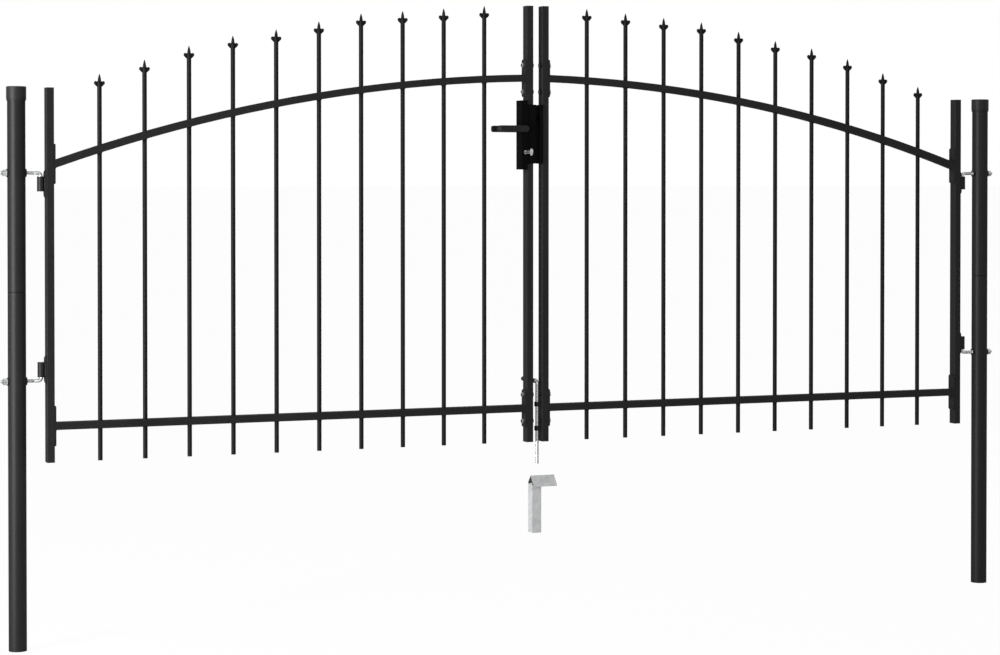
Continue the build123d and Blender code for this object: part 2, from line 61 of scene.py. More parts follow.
dusty_paint = (0.0088, 0.0086, 0.0082, 1)
# Painted shade colour for the joint between the two lengths of each post.
seam_painted_shade = (0.0012, 0.0012, 0.0012, 1)
satin = 0.46
satin_level = 0.2
noise_middle = 0.5
fine_detail = 2
peel_scale = 900
peel_depth = 0.00015
peel_dulling = 0.08
tube_peel = 0.25
patch_scale = 5
patch_from = 0.35
patch_full = 0.75
patch_dust_share = 0.6
patch_dulling = 0.16
speck_scale = 2700
speck_from = 0.66
speck_full = 0.72
speck_dust_share = 0.3
glancing_blend = 0.5
glancing_dulling = 0.5
seam_width = 0.0022
seam_core_share = 0.4
seam_relief = 2


class Shade:
    """A socket of a material, so that sums and products of values can be written as such."""

    def __init__(self, tree, socket=None):
        self.tree = tree
        self.socket = socket

    def node(self, kind, settings, sockets, output=0):
        made = self.tree.nodes.new(kind)
        for name, value in settings.items():
            setattr(made, name, value)
        for name, value in sockets.items():
            if isinstance(value, Shade):
                self.tree.links.new(value.socket, made.inputs[name])
            else:
                made.inputs[name].default_value = value
        return Shade(self.tree, made.outputs[output])

    def math(self, operation, first, second=0.0):
        return self.node("ShaderNodeMath", {"operation": operation}, {0: first, 1: second})

    def __add__(self, other):
        return self.math("ADD", self, other)

    def __sub__(self, other):
        return self.math("SUBTRACT", self, other)

    def __rsub__(self, other):
        return self.math("SUBTRACT", other, self)

    def __mul__(self, other):
        return self.math("MULTIPLY", self, other)

    __radd__ = __add__
    __rmul__ = __mul__

    def noise(self, scale, detail=3):
        return self.node("ShaderNodeTexNoise", {}, {"Vector": self, "Scale": scale, "Detail": detail})

    def blend(self, first, second):
        return self.node("ShaderNodeMix", {"data_type": "RGBA"}, {0: self, 6: first, 7: second}, 2)

    def step(self, low, high):
        return self.node("ShaderNodeMapRange", {}, {"Value": self, "From Min": low, "From Max": high})

    def bump(self, strength, distance):
        sockets = {"Height": self, "Strength": strength, "Distance": distance}
        return self.node("ShaderNodeBump", {}, sockets)


class Finish:
    """One surface finish: what is the same all over it, and what changes from place to place."""

    def __init__(self, name, fixed):
        self.material = bpy.data.materials.new(name)
        self.material.use_nodes = True
        tree = self.material.node_tree
        self.surface = tree.nodes["Principled BSDF"]
        self.place = Shade(tree).node("ShaderNodeTexCoord", {}, {}, "Object")
        for socket, value in fixed.items():
            self.surface.inputs[socket].default_value = value

    def feed(self, **values):
        for name, value in values.items():
            socket = self.surface.inputs[name.replace("_", " ")]
            self.material.node_tree.links.new(value.socket, socket)

    def on(self, *names):
        for name in names:
            slots = bpy.data.objects[name].data.materials
            slots.clear()
            slots.append(self.material)


def powder_coat(name, dark, dull, roughness, level, peel_strength, seam=None):
    coat = Finish(name, {"Specular IOR Level": level})
    patches = coat.place.noise(patch_scale)
    peel = coat.place.noise(peel_scale, fine_detail)
    specks = coat.place.noise(speck_scale).step(speck_from, speck_full)
    glancing = coat.place.node("ShaderNodeLayerWeight", {}, {"Blend": glancing_blend}, "Facing")
    dust = patches.step(patch_from, patch_full) * patch_dust_share + specks * speck_dust_share
    colour = dust.blend(dark, dull)
    relief = peel
    if seam:
        height = coat.place.node("ShaderNodeSeparateXYZ", {}, {"Vector": coat.place}, "Z")
        away = coat.place.math("ABSOLUTE", height - seam)
        # Painted shade: the band along the joint is darkened, and a groove is bumped into it.
        off_seam = away.step(seam_core_share * seam_width, seam_width)
        colour = off_seam.blend(seam_painted_shade, colour)
        relief = peel + off_seam * seam_relief
    mottle = (patches - noise_middle) * patch_dulling + (peel - noise_middle) * peel_dulling
    coat.feed(
        Base_Color=colour,
        Roughness=roughness + glancing * glancing_dulling + mottle,
        Normal=relief.bump(peel_strength, peel_depth),
    )
    return coat


post_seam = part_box("left_post_lower")[1].z
post_coat = powder_coat("post_coat", black_paint, dusty_paint, satin, satin_level, tube_peel, post_seam)
post_coat.on("left_post_lower", "left_post_upper", "right_post_lower", "right_post_upper")

# Post caps: black polyethylene caps pushed over the tube ends, with a taper at the foot of the skirt.
# They are moulded with a fine spark-eroded grain, and the flow of the plastic leaves duller clouds.
black_plastic = (0.0058, 0.0058, 0.0060, 1)
worn_plastic = (0.011, 0.011, 0.011, 1)
plastic_level = 0.22
grain_scale = 1500
grain_strength = 0.3
grain_depth = 0.0003
flow_scale = 24
flow_from = 0.4
flow_full = 0.8
flow_dulling = 0.2
cap_roughness = 0.5


def moulding(name, roughness):
    plastic = Finish(name, {"Specular IOR Level": plastic_level})
    grain = plastic.place.noise(grain_scale, fine_detail)
    flow = plastic.place.noise(flow_scale)
    plastic.feed(
        Base_Color=flow.step(flow_from, flow_full).blend(black_plastic, worn_plastic),
        Roughness=roughness + (flow - noise_middle) * flow_dulling,
        Normal=grain.bump(grain_strength, grain_depth),
    )
    return plastic


cap_plastic = moulding("cap_plastic", cap_roughness)
cap_plastic.on("left_post_cap", "right_post_cap")

# Hinge bolts: zinc plated rods with a thread rolled on the straight part, bent down or up into a pin.
# Each goes through its post between two black plastic saddles that follow the round of the tube.
bolt_low, bolt_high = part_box("left_hinge_bolts")
bolt_radius = (bolt_high.y - bolt_low.y) / 2
bolt_depth = (bolt_high.y + bolt_low.y) / 2
bend_radius = 0.009
bolt_point = 0.0012
barrel_height = 0.040
thread_pitch = 0.0015
thread_depth = 0.0009
flank_share = 0.45
sink_share = 1 / 3
ridge_corners = 3
end_hole_sides = 4
round_sides = 24
bend_steps = 8
merge_distance = 0.00001
along_x = (0, math.pi / 2, 0)
crisp_angle = 25
turned_angle = 40
zinc_pale = (0.60, 0.61, 0.62, 1)
zinc_dull = (0.38, 0.385, 0.38, 1)
cloud_scale = 70
cloud_from = 0.35
cloud_full = 0.7
cloud_dulling = 0.25
scuff_scale = 900
scuff_dulling = 0.12
scuff_strength = 0.12
scuff_depth = 0.0003
bolt_roughness = 0.38
saddle_roughness = 0.55


def plating(name, pale, dull, roughness):
    metal = Finish(name, {"Metallic": 1.0})
    clouds = metal.place.noise(cloud_scale)
    scuffs = metal.place.noise(scuff_scale)
    metal.colour = clouds.step(cloud_from, cloud_full).blend(pale, dull)
    mottle = (clouds - noise_middle) * cloud_dulling + (scuffs - noise_middle) * scuff_dulling
    metal.feed(
        Base_Color=metal.colour,
        Roughness=roughness + mottle,
        Normal=scuffs.bump(scuff_strength, scuff_depth),
    )
    return metal


def start_piece(name):
    piece = bpy.context.object
    piece.name = name
    bpy.ops.object.mode_set(mode="EDIT")
    return piece


def end_piece(smooth_angle):
    bpy.ops.mesh.select_all(action="SELECT")
    bpy.ops.mesh.remove_doubles(threshold=merge_distance)
    bpy.ops.mesh.normals_make_consistent(inside=False)
    bpy.ops.object.mode_set(mode="OBJECT")
    bpy.ops.object.transform_apply(location=True, rotation=True, scale=True)
    bpy.ops.object.shade_smooth_by_angle(angle=math.radians(smooth_angle))


def extrude(x, y, z):
    bpy.ops.mesh.extrude_region_move(TRANSFORM_OT_translate={"value": (x, y, z)})


def copy_piece(piece, name, turn):
    twin = bpy.data.objects.new(name, piece.data.copy())
    bpy.context.collection.objects.link(twin)
    twin.data.transform(turn)
    if turn.determinant() < 0:
        twin.data.flip_normals()
    return twin


def join_pieces(pieces):
    bpy.ops.object.select_all(action="DESELECT")
    for piece in pieces:
        piece.select_set(True)
    bpy.context.view_layer.objects.active = pieces[0]
    bpy.ops.object.join()
    return pieces[0]


def disc(radius, place, turn, sides=round_sides):
    bpy.ops.object.select_all(action="DESELECT")
    bpy.ops.mesh.primitive_circle_add(vertices=sides, radius=radius, fill_type="NGON", location=place,
                                      rotation=turn)


def thread_ridge(name, start, end, root, crest, pitch, depth, height):
    bpy.ops.object.select_all(action="DESELECT")
    bpy.ops.mesh.primitive_circle_add(vertices=ridge_corners, radius=pitch / 2, location=(start, crest, 0))
    ridge = start_piece(name)
    bpy.ops.object.mode_set(mode="OBJECT")
    flank = flank_share * pitch
    profile = ((-flank, root - crest, 0), (0, 0, 0), (flank, root - crest, 0))
    for corner, place in zip(ridge.data.vertices, profile):
        corner.co = place
    bpy.ops.object.transform_apply(location=True)
    screw = ridge.modifiers.new("thread", "SCREW")
    screw.axis = "X"
    screw.screw_offset = pitch
    screw.iterations = round((end - start) / pitch)
    screw.steps = round_sides
    screw.render_steps = round_sides
    bpy.ops.object.modifier_apply(modifier="thread")
    bpy.ops.object.mode_set(mode="EDIT")
    bpy.ops.mesh.select_all(action="SELECT")
    bpy.ops.mesh.fill_holes(sides=end_hole_sides)
    bpy.ops.transform.translate(value=(0, depth, height))
    end_piece(crisp_angle)
    return ridge


def bent_bolt(name, height, way):
    core = bolt_radius - thread_depth
    bend_x = bolt_high.x - bolt_radius - bend_radius
    shank_x = bend_x - bend_radius
    disc(core - bolt_point, (bolt_low.x, bolt_depth, height), along_x)
    bolt = start_piece(name)
    extrude(bolt_point, 0, 0)
    swell = core / (core - bolt_point)
    bpy.ops.transform.resize(value=(1, swell, swell))
    extrude(shank_x - bolt_low.x - bolt_point, 0, 0)
    extrude(bolt_point, 0, 0)
    bpy.ops.transform.resize(value=(1, bolt_radius / core, bolt_radius / core))
    extrude(bend_radius - bolt_point, 0, 0)
    bpy.ops.mesh.spin(steps=bend_steps, angle=way * math.pi / 2, axis=(0, 1, 0),
                      center=(bend_x, bolt_depth, height + way * bend_radius))
    extrude(0, 0, way * (barrel_height - bolt_point))
    extrude(0, 0, way * bolt_point)
    shrink = (bolt_radius - bolt_point) / bolt_radius
    bpy.ops.transform.resize(value=(shrink, shrink, 1))
    end_piece(turned_angle)
    ridge = thread_ridge(name + "_thread", bolt_low.x + bolt_point + thread_pitch, shank_x - thread_pitch,
                         core - sink_share * thread_depth, bolt_radius, thread_pitch, bolt_depth, height)
    return join_pieces([bolt, ridge])


gate_middle = (cad_box[0][0] + cad_box[1][0]) / 2
to_right = Matrix.Translation((2 * gate_middle, 0, 0)) @ Matrix.Diagonal((-1, 1, 1, 1))
upper_bolt = bolt_high.z - bolt_radius
lower_bolt = bolt_low.z + bolt_radius
bolt_zinc = plating("bolt_zinc", zinc_pale, zinc_dull, bolt_roughness)
left_bolts = join_pieces([bent_bolt("left_hinge_bolts_threaded", upper_bolt, -1),
                          bent_bolt("lower_hinge_bolt", lower_bolt, 1)])
right_bolts = copy_piece(left_bolts, "right_hinge_bolts_threaded", to_right)
for bolts, side in ((left_bolts, "left"), (right_bolts, "right")):
    bolt_zinc.on(bolts.name)
    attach(bolts, "posts")
    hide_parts(side + "_hinge_bolts")

saddle_plastic = moulding("saddle_plastic", saddle_roughness)
saddle_plastic.on("left_hinge_saddles", "right_hinge_saddles")

# Hinge nuts: hexagon nuts with turned corners, each on a flat round washer, both zinc plated.
# The washer spreads the nut's pull over the plastic saddle behind it.
nut_low, nut_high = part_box("left_hinge_nuts")
nut_flats = 0.017
nut_height = 0.009
washer_edge = 0.0005
cutter_sides = 40
cutter_share = 1.01
hex_sides = 6
wall_corners = 4
edge_segments = 2
nut_roughness = 0.32


def select_ends():
    bpy.ops.mesh.select_mode(type="FACE")
    bpy.ops.mesh.select_all(action="DESELECT")
    bpy.ops.object.mode_set(mode="OBJECT")
    for face in bpy.context.object.data.polygons:
        face.select = len(face.vertices) > wall_corners
    bpy.ops.object.mode_set(mode="EDIT")


def turned_bar(name, radius, start, end, depth, height, edge, sides=cutter_sides):
    disc(radius, (start, depth, height), along_x, sides)
    bar = start_piece(name)
    extrude(end - start, 0, 0)
    select_ends()
    bpy.ops.mesh.bevel(offset=edge, segments=edge_segments, affect="EDGES")
    end_piece(turned_angle)
    return bar


def hex_nut(name, flats, start, end, depth, height):
    corner = flats / math.sqrt(3)
    shaved = corner - flats / 2
    cutter = turned_bar(name + "_cutter", cutter_share * corner, start, end, depth, height, shaved)
    disc(corner, (start, depth, height), along_x, hex_sides)
    nut = start_piece(name)
    extrude(end - start, 0, 0)
    bpy.ops.mesh.select_all(action="SELECT")
    bpy.ops.mesh.normals_make_consistent(inside=False)
    bpy.ops.object.mode_set(mode="OBJECT")
    shave = nut.modifiers.new("shave", "BOOLEAN")
    shave.operation = "INTERSECT"
    shave.object = cutter
    bpy.ops.object.modifier_apply(modifier="shave")
    bpy.data.objects.remove(cutter)
    bpy.ops.object.mode_set(mode="EDIT")
    end_piece(crisp_angle)
    return nut


washer_x = nut_low.x + nut_height
washer_radius = (nut_high.y - nut_low.y) / 2
upper_nut = join_pieces([
    hex_nut("left_hinge_nuts_turned", nut_flats, nut_low.x, washer_x, bolt_depth, upper_bolt),
    turned_bar("upper_washer", washer_radius, washer_x, nut_high.x, bolt_depth, upper_bolt, washer_edge),
])
lower_nut = copy_piece(upper_nut, "lower_nut", Matrix.Translation((0, 0, lower_bolt - upper_bolt)))
left_nuts = join_pieces([upper_nut, lower_nut])
right_nuts = copy_piece(left_nuts, "right_hinge_nuts_turned", to_right)
nut_zinc = plating("nut_zinc", zinc_pale, zinc_dull, nut_roughness)
for nuts, side in ((left_nuts, "left"), (right_nuts, "right")):
    nut_zinc.on(nuts.name)
    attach(nuts, "posts")
    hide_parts(side + "_hinge_nuts")

# Stiles: rectangular steel tubes that close the two ends of each leaf, powder coated with it.
# Black plastic plugs with a thin lip keep the rain out of their ends.
plug_roughness = 0.48
leaf_coat = powder_coat("leaf_coat", black_paint, dusty_paint, satin, satin_level, tube_peel)
leaf_coat.on("left_outer_stile", "right_outer_stile", "left_inner_stile", "right_inner_stile")
plug_plastic = moulding("plug_plastic", plug_roughness)
plug_plastic.on("left_stile_plugs", "right_stile_plugs")

# Rails: a straight tube below and an arched one above, drilled for the bars, with a flat flange at each end.
# The flanges are welded to the rails along their upper and lower edges, and the coat covers the beads.
rail_low, rail_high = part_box("left_bottom_rail")
arch_low, arch_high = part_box("left_top_rail")
bead_radius = 0.0021
bead_ripples = 12
bead_swell = 1.16
bead_end_share = 0.55
bead_sides = 10
bead_angle = 60
arch_cut = 0.0211
leaf_coat.on("left_top_rail", "right_top_rail", "left_bottom_rail", "right_bottom_rail")
leaf_coat.on("left_rail_flanges", "right_rail_flanges")


def weld_bead(name, length):
    ripple = length / (2 * bead_ripples)
    disc(bead_end_share * bead_radius, (0, -length / 2, 0), (math.pi / 2, 0, 0), bead_sides)
    bead = start_piece(name)
    extrude(0, ripple / 2, 0)
    bpy.ops.transform.resize(value=(1 / bead_end_share, 1, 1 / bead_end_share))
    for turn in range(2 * bead_ripples - 1):
        extrude(0, ripple, 0)
        grow = bead_swell if turn % 2 else 1 / bead_swell
        bpy.ops.transform.resize(value=(grow, 1, grow))
    extrude(0, ripple / 2, 0)
    bpy.ops.transform.resize(value=(bead_end_share, 1, bead_end_share))
    end_piece(bead_angle)
    return bead


bead_length = rail_high.y - rail_low.y - 2 * bead_radius
rail_bead = weld_bead("rail_bead", bead_length)
rail_corners = [(x, z) for x in (rail_low.x, rail_high.x) for z in (rail_low.z, rail_high.z)]
arch_height = rail_high.z - rail_low.z
rail_corners += [(arch_low.x, arch_low.z), (arch_low.x, arch_low.z + arch_cut)]
rail_corners += [(arch_high.x, arch_high.z), (arch_high.x, arch_high.z - arch_height)]
left_welds = join_pieces([copy_piece(rail_bead, "left_rail_welds", Matrix.Translation((x, 0, z)))
                          for x, z in rail_corners])
right_welds = copy_piece(left_welds, "right_rail_welds", to_right)
bpy.data.objects.remove(rail_bead)
for welds, side in ((left_welds, "left"), (right_welds, "right")):
    leaf_coat.on(welds.name)
    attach(welds, side + "_leaf")

# Hinge barrels: short steel tubes, each joined by a web to a rounded plate that is welded to the stile.
# The web is welded to the plate on both sides before the leaf is coated.
barrel_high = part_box("left_hinge_barrels")[1]
plate_thickness = 0.003
web_half = 0.0065
barrel_gap = 0.0003
leaf_coat.on("left_hinge_barrels", "right_hinge_barrels")
barrel_middle = bend_radius + barrel_gap + barrel_height / 2
barrel_centres = (upper_bolt - barrel_middle, lower_bolt + barrel_middle)
web_bead = weld_bead("web_bead", barrel_height - 2 * bead_radius)
upright = Matrix.Rotation(math.pi / 2, 4, "X")
plate_x = barrel_high.x - plate_thickness
web_corners = [(plate_x, y, z) for z in barrel_centres for y in (-web_half, web_half)]
left_web_welds = join_pieces([copy_piece(web_bead, "left_barrel_welds", Matrix.Translation(corner) @ upright)
                              for corner in web_corners])
right_web_welds = copy_piece(left_web_welds, "right_barrel_welds", to_right)
bpy.data.objects.remove(web_bead)
for welds, side in ((left_web_welds, "left"), (right_web_welds, "right")):
    leaf_coat.on(welds.name)
    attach(welds, side + "_leaf")

# Flange bolts: black hexagon bolts through the inner stiles and the flanges, with bright nuts on the inside.
# The heads lie in the gap between the leaves, and a turn of thread stands out of each nut.
flange_low, flange_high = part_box("left_flange_bolts")
stile_low, stile_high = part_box("left_inner_stile")
flange_flats = 0.013
flange_nut_height = 0.0065
flange_bolt_radius = 0.004
flange_spacing = 0.076
flange_thickness = 0.004
flange_pitch = 0.00125
flange_thread_depth = 0.0006
flange_depth = (flange_low.y + flange_high.y) / 2
nut_face = stile_low.x - flange_thickness
flange_corner = flange_flats / math.sqrt(3)
lowest_bolt = flange_low.z + flange_corner
highest_bolt = flange_high.z - flange_corner
black_steel = (0.020, 0.020, 0.021, 1)
rubbed_steel = (0.045, 0.044, 0.043, 1)
black_bolt_roughness = 0.42


def flange_bolt(name):
    core = flange_bolt_radius - flange_thread_depth
    thread_start = flange_low.x + flange_pitch / 2
    return join_pieces([
        hex_nut(name, flange_flats, stile_high.x, flange_high.x, flange_depth, lowest_bolt),
        turned_bar(name + "_shank", core, flange_low.x, stile_high.x, flange_depth, lowest_bolt, washer_edge),
        thread_ridge(name + "_thread", thread_start, nut_face, core - sink_share * flange_thread_depth,
                     flange_bolt_radius, flange_pitch, flange_depth, lowest_bolt),
    ])


def four_places(piece):
    to_top = highest_bolt - lowest_bolt
    lifts = (flange_spacing, to_top - flange_spacing, to_top)
    raised = [copy_piece(piece, piece.name + "_raised", Matrix.Translation((0, 0, lift))) for lift in lifts]
    return join_pieces([piece] + raised)


black_bolt = plating("black_bolt", black_steel, rubbed_steel, black_bolt_roughness)
left_flange_bolts = four_places(flange_bolt("left_flange_bolts_threaded"))
inner_nut = hex_nut("left_flange_nuts", flange_flats, nut_face - flange_nut_height, nut_face,
                    flange_depth, lowest_bolt)
left_flange_nuts = four_places(inner_nut)
right_flange_bolts = copy_piece(left_flange_bolts, "right_flange_bolts_threaded", to_right)
right_flange_nuts = copy_piece(left_flange_nuts, "right_flange_nuts", to_right)
flange_sets = (
    ("left", left_flange_bolts, left_flange_nuts),
    ("right", right_flange_bolts, right_flange_nuts),
)
for side, bolts, nuts in flange_sets:
    black_bolt.on(bolts.name)
    nut_zinc.on(nuts.name)
    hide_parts(side + "_flange_bolts")
    for piece in (bolts, nuts):
        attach(piece, side + "_leaf")

# Bars and spear tips: round steel bars through both rails, ten to a leaf, each with a cast tip on top.
# A ring of weld holds each bar under each rail. They are coated with the leaf, and take a little less gloss
# than the flat tubes.
bar_paint = (0.0028, 0.0029, 0.0030, 1)
bar_dull = (0.0060, 0.0059, 0.0057, 1)
bar_roughness = 0.52
bar_level = 0.12
bar_peel = 0.12
bar_coat = powder_coat("bar_coat", bar_paint, bar_dull, bar_roughness, bar_level, bar_peel)
bar_coat.on("left_bars", "right_bars", "left_spear_tips", "right_spear_tips")
bar_low, bar_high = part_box("left_bars")
bar_count = 10
bar_radius = (bar_high.y - bar_low.y) / 2
ring_throat = 0.0022
ring_foot = bar_radius + ring_throat
ring_height = 0.0032
ring_sides = 20
ring_ripple = 0.95
ring_angle = 50
arch_beyond = 0.0715
arch_under_radius = 4.435


def bar_weld(name):
    disc(ring_foot, (0, 0, 0), (0, 0, 0), ring_sides)
    ring = start_piece(name)
    extrude(0, 0, -ring_height / 2)
    swell = (ring_foot + bar_radius) / 2 / ring_foot
    bpy.ops.transform.resize(value=(swell, swell, 1))
    bpy.ops.mesh.select_mode(type="VERT")
    bpy.ops.mesh.select_nth(skip=1, nth=1)
    bpy.ops.transform.resize(value=(ring_ripple, ring_ripple, 1))
    bpy.ops.object.mode_set(mode="OBJECT")
    for corner in ring.data.vertices:
        corner.select = corner.co.z < 0
    bpy.ops.object.mode_set(mode="EDIT")
    extrude(0, 0, -ring_height / 2)
    shrink = bar_radius / (swell * ring_foot)
    bpy.ops.transform.resize(value=(shrink, shrink, 1))
    end_piece(ring_angle)
    return ring


def under_arch(x):
    aside = x - gate_middle - arch_beyond
    start_aside = arch_low.x - gate_middle - arch_beyond
    rise = math.sqrt(arch_under_radius ** 2 - aside ** 2)
    start_rise = math.sqrt(arch_under_radius ** 2 - start_aside ** 2)
    slope = Matrix.Rotation(math.atan2(aside, rise), 4, "Y")
    return Matrix.Translation((x, 0, arch_low.z + rise - start_rise)) @ slope


ring_weld = bar_weld("ring_weld")
bar_step = (bar_high.x - bar_low.x - 2 * bar_radius) / (bar_count - 1)
bar_middles = [bar_low.x + bar_radius + bar_step * place for place in range(bar_count)]
ring_places = [Matrix.Translation((x, 0, rail_low.z)) for x in bar_middles]
ring_places += [under_arch(x) for x in bar_middles]
left_rings = join_pieces([copy_piece(ring_weld, "left_bar_welds", place) for place in ring_places])
right_rings = copy_piece(left_rings, "right_bar_welds", to_right)
bpy.data.objects.remove(ring_weld)
for rings, side in ((left_rings, "left"), (right_rings, "right")):
    bar_coat.on(rings.name)
    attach(rings, side + "_leaf")

# Lock: a folded steel case beside the inner stile and a forend channel round it, both in a deep matt black.
# Socket screws hold the case's cover from the side, the forend to the stile, and the keep to the other leaf.
lock_paint = (0.0016, 0.0016, 0.0017, 1)
lock_dull = (0.0030, 0.0030, 0.0030, 1)
lock_roughness = 0.6
lock_level = 0.03
lock_coat = powder_coat("lock_coat", lock_paint, lock_dull, lock_roughness, lock_level, tube_peel)
lock_coat.on("lock_case", "lock_forend", "lock_keep")
case_low, case_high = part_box("lock_case")
forend_low, forend_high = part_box("lock_forend")
keep_low, keep_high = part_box("lock_keep")
screw_radius = 0.0034
screw_head = 0.0014
screw_socket = 0.0017
socket_share = 0.7
screw_inset = 0.012
screw_edge = 0.0005


def socket_screw(name):
    head = turned_bar(name, screw_radius, 0, screw_head, 0, 0, screw_edge, round_sides)
    disc(screw_socket, (screw_head * (1 - socket_share), 0, 0), along_x, hex_sides)
    cutter = start_piece(name + "_cutter")
    extrude(screw_head, 0, 0)
    end_piece(crisp_angle)
    bpy.context.view_layer.objects.active = head
    socket = head.modifiers.new("socket", "BOOLEAN")
    socket.operation = "DIFFERENCE"
    socket.object = cutter
    bpy.ops.object.modifier_apply(modifier="socket")
    bpy.data.objects.remove(cutter)
    return head


screw = socket_screw("lock_screw")
facing_left = Matrix.Rotation(math.pi, 4, "Z")


def screw_row(name, face_x, low, high, turn):
    places = [Matrix.Translation((face_x, 0, z)) @ turn for z in (low.z + screw_inset, high.z - screw_inset)]
    row = join_pieces([copy_piece(screw, name, place) for place in places])
    lock_coat.on(row.name)
    return row


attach(screw_row("case_screws", case_low.x, case_low, case_high, facing_left), "left_leaf")
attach(screw_row("forend_screws", forend_high.x, forend_low, forend_high, Matrix.Identity(4)), "left_leaf")
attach(screw_row("keep_screws", keep_low.x, keep_low, keep_high, facing_left), "right_leaf")
bpy.data.objects.remove(screw)
lock_coat.on("latch_bolt")

# Levers: two cast handles on one square spindle, coated satin black, a little lighter than the case.
# Hands have polished them slightly.
lever_paint = (0.0065, 0.0065, 0.0068, 1)
lever_dull = (0.0120, 0.0118, 0.0115, 1)
lever_roughness = 0.58
lever_level = 0.16
lever_coat = powder_coat("lever_coat", lever_paint, lever_dull, lever_roughness, lever_level, tube_peel)
lever_coat.on("front_lever", "back_lever")
nut_zinc.on("lever_spindle")

# Cylinder and key: nickel plated brass with light scratches, in a round black rose on each side of the case.
# The key stays in the front of the cylinder, and a stripe of painted shade stands for the groove milled along
# its blade.
nickel_pale = (0.66, 0.66, 0.65, 1)
nickel_dull = (0.46, 0.46, 0.45, 1)
nickel_roughness = 0.26
nickel = plating("nickel", nickel_pale, nickel_dull, nickel_roughness)
nickel.on("lock_cylinder", "cylinder_plug")
key_low, key_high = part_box("key")
key_bow = 0.016
groove_half = 0.0019
groove_edge = 0.0004
# Painted shade colour for the stripe along the middle of the blade.
groove_painted_shade = (0.07, 0.07, 0.07, 1)
key_roughness = 0.3
key_nickel = plating("key_nickel", nickel_pale, nickel_dull, key_roughness)
key_place = key_nickel.place
key_depth = key_place.node("ShaderNodeSeparateXYZ", {}, {"Vector": key_place}, "Y")
key_height = key_place.node("ShaderNodeSeparateXYZ", {}, {"Vector": key_place}, "Z")
blade_start = key_low.y + key_bow
on_blade = key_depth.step(blade_start, blade_start + groove_edge)
off_centre = key_place.math("ABSOLUTE", key_height - (key_low.z + key_high.z) / 2)
# Painted shade: a dark stripe along the middle of the blade, where the groove is.
groove_shade = on_blade * (1 - off_centre.step(groove_half, groove_half + groove_edge))
key_nickel.feed(Base_Color=groove_shade.blend(key_nickel.colour, groove_painted_shade))
key_nickel.on("key")
cylinder_low, cylinder_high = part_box("lock_cylinder")
rose_radius = 0.0076
rose_thickness = 0.0018
rose_edge = 0.0006
cylinder_x = (cylinder_low.x + cylinder_high.x) / 2
cylinder_z = (cylinder_low.z + cylinder_high.z) / 2
cylinder_radius = (cylinder_high.x - cylinder_low.x) / 2
disc(rose_radius, (cylinder_x, case_low.y, cylinder_z), (math.pi / 2, 0, 0), cutter_sides)
front_rose = start_piece("front_rose")
bpy.ops.mesh.inset(thickness=rose_radius - cylinder_radius)
bpy.ops.mesh.delete(type="FACE")
bpy.ops.mesh.select_all(action="SELECT")
extrude(0, -rose_thickness, 0)
end_piece(turned_angle)
edge = front_rose.modifiers.new("edge", "BEVEL")
edge.width = rose_edge
edge.segments = edge_segments
edge.limit_method = "ANGLE"
bpy.ops.object.modifier_apply(modifier="edge")
back_rose = copy_piece(front_rose, "back_rose", Matrix.Diagonal((1, -1, 1, 1)))
for rose in (front_rose, back_rose):
    lock_coat.on(rose.name)
    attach(rose, "left_leaf")

# Drop bolt: a bent zinc plated rod that slides in two coated eyes on the right leaf's inner stile.
# Sliding has rubbed it bright, and a soft black plastic sleeve covers its handle.
rod_pale = (0.72, 0.73, 0.74, 1)
rod_dull = (0.58, 0.58, 0.58, 1)
rod_roughness = 0.27
grip_roughness = 0.55
rod_zinc = plating("rod_zinc", rod_pale, rod_dull, rod_roughness)
rod_zinc.on("drop_bolt")
leaf_coat.on("drop_bolt_guides")
grip_plastic = moulding("grip_plastic", grip_roughness)
grip_plastic.on("drop_bolt_grip")

# Ground catch: hot dip galvanised sheet, a folded ramp welded on an angle stake that stands in the ground.
# The zinc has frozen into spangles of slightly different greys, and painted shade darkens it underneath
# the ramp, on the cut edge of its welded end and along the top of the stake.
spangle_scale = 110
spangle_dulling = 0.15
catch_pale = (0.50, 0.505, 0.51, 1)
catch_dull = (0.42, 0.425, 0.43, 1)
catch_metallic = 0.2
catch_roughness = 0.45
# Painted shade colour and duller gloss for the zinc under the ramp, on its left end and at the top of the
# stake.
painted_shade_zinc = (0.075, 0.073, 0.07, 1)
shade_dulling = 0.2
shade_height = 0.009
shade_edge = 0.002
ripple_scale = 260
ripple_strength = 0.1
ripple_depth = 0.0004
upward = (0, 0, 1)
up_and_right = (1, 0, 1)
unshaded_facing = -0.1
shaded_facing = -0.3


def hot_dip(name, measure, heading, unshaded_at, shaded_at):
    zinc = Finish(name, {"Metallic": catch_metallic})
    cells = {"Vector": zinc.place, "Scale": spangle_scale}
    spangle = zinc.place.node("ShaderNodeTexVoronoi", {}, cells, "Color")
    shine = spangle.node("ShaderNodeSeparateColor", {}, {"Color": spangle})
    measured = zinc.place.node("ShaderNodeTexCoord", {}, {}, measure)
    product = {"operation": "DOT_PRODUCT"}
    along = zinc.place.node("ShaderNodeVectorMath", product, {0: measured, 1: heading}, "Value")
    # Painted shade: faces turned down or to the left, and the band along the top of the stake, are darkened.
    painted_shade = along.step(unshaded_at, shaded_at)
    zinc.feed(
        Base_Color=painted_shade.blend(shine.blend(catch_dull, catch_pale), painted_shade_zinc),
        Roughness=catch_roughness + shine * spangle_dulling + painted_shade * shade_dulling,
        Normal=zinc.place.noise(ripple_scale).bump(ripple_strength, ripple_depth),
    )
    return zinc


ramp_zinc = hot_dip("ramp_zinc", "Normal", up_and_right, unshaded_facing, shaded_facing)
ramp_zinc.on("ground_catch_ramp")
stake_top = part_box("ground_catch_stake")[1].z
shade_from = stake_top - shade_height
stake_zinc = hot_dip("stake_zinc", "Object", upward, shade_from, shade_from + shade_edge)
stake_zinc.on("ground_catch_stake")

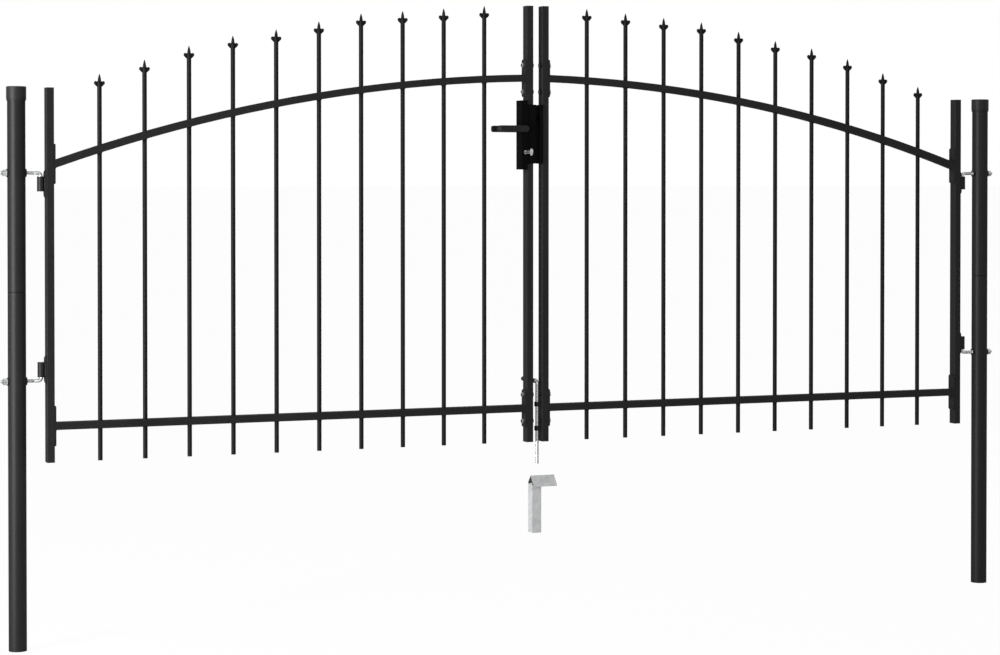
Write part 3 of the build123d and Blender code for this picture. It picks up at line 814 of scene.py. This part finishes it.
# Studio: a white paper floor and background, a tall soft lamp close at the left and a weak one in front.
# The paper is bright white to the camera, and keeps a trace of the gate's shadow.
floor_size = 600
paper = (0.92, 0.92, 0.92, 1)
paper_roughness = 0.9
plain_white = (1, 1, 1, 1)
white_share = 0.97
ambient_share = 0.35
left_lamp_place = (-2.9, -1.75, 1.3)
left_lamp_aim = (0.6, 0, 0.9)
left_lamp_width = 0.8
left_lamp_height = 3.0
left_lamp_watts = 300
front_lamp_place = (1.5, -7.5, 3.5)
front_lamp_aim = (1.5, 0, 0.8)
front_lamp_width = 4.0
front_lamp_height = 2.0
front_lamp_watts = 60
bpy.ops.object.select_all(action="DESELECT")
bpy.ops.mesh.primitive_plane_add(size=floor_size, location=(gate_middle, 0, 0))
bpy.context.object.name = "paper_floor"
matt_paper = {"Base Color": paper, "Roughness": paper_roughness, "Specular IOR Level": 0.0}
floor_finish = Finish("white_paper", matt_paper)
floor_finish.on("paper_floor")
sheet = floor_finish.place
seen = sheet.node("ShaderNodeLightPath", {}, {}, "Is Camera Ray")
white = sheet.node("ShaderNodeEmission", {}, {"Color": plain_white, "Strength": 1.0})
paper_shader = Shade(sheet.tree, floor_finish.surface.outputs[0])
mixed = sheet.node("ShaderNodeMixShader", {}, {0: seen * white_share, 1: paper_shader, 2: white})
sheet.tree.links.new(mixed.socket, sheet.tree.nodes["Material Output"].inputs["Surface"])

world = bpy.data.worlds.new("studio")
bpy.context.scene.world = world
world.use_nodes = True
sky = Shade(world.node_tree)
ray_kinds = ("Is Camera Ray", "Is Glossy Ray", "Is Transmission Ray")
camera_ray, glossy_ray, clear_ray = [sky.node("ShaderNodeLightPath", {}, {}, kind) for kind in ray_kinds]
shown = sky.math("MINIMUM", camera_ray + glossy_ray + clear_ray, 1.0)
backdrop = world.node_tree.nodes["Background"]
backdrop.inputs["Color"].default_value = plain_white
sky_strength = ambient_share + shown * (1 - ambient_share)
world.node_tree.links.new(sky_strength.socket, backdrop.inputs["Strength"])


def soft_lamp(name, place, aim, width, height, watts):
    lamp = bpy.data.lights.new(name, "AREA")
    lamp.shape = "RECTANGLE"
    lamp.size = width
    lamp.size_y = height
    lamp.energy = watts
    stand = bpy.data.objects.new(name, lamp)
    bpy.context.collection.objects.link(stand)
    stand.location = place
    stand.rotation_euler = (Vector(aim) - Vector(place)).to_track_quat("-Z", "Y").to_euler()


soft_lamp("left_lamp", left_lamp_place, left_lamp_aim, left_lamp_width, left_lamp_height, left_lamp_watts)
soft_lamp("front_lamp", front_lamp_place, front_lamp_aim, front_lamp_width, front_lamp_height,
          front_lamp_watts)

# Camera: a long lens to the left of the gate, a little below the tops of the posts.
# It points slightly down, and its shift keeps the feet of the posts in the picture.
photo_width = 1000
photo_height = 655
focal_pixels = 2543.5
centre_row = 217.73
sensor_width = 36
farthest_seen = 1000
camera_place = (-1.39875, -6.72218, 1.25998)
degrees_down = 0.92006
degrees_right = 22.51821
camera = bpy.data.cameras.new("photo_camera")
camera.sensor_width = sensor_width
camera.lens = focal_pixels / photo_width * sensor_width
camera.shift_y = (centre_row - photo_height / 2) / photo_width
camera.clip_end = farthest_seen
viewer = bpy.data.objects.new("photo_camera", camera)
bpy.context.collection.objects.link(viewer)
viewer.location = camera_place
viewer.rotation_euler = (math.pi / 2 - math.radians(degrees_down), 0, -math.radians(degrees_right))
bpy.context.scene.camera = viewer
bpy.context.scene.view_settings.view_transform = "Standard"
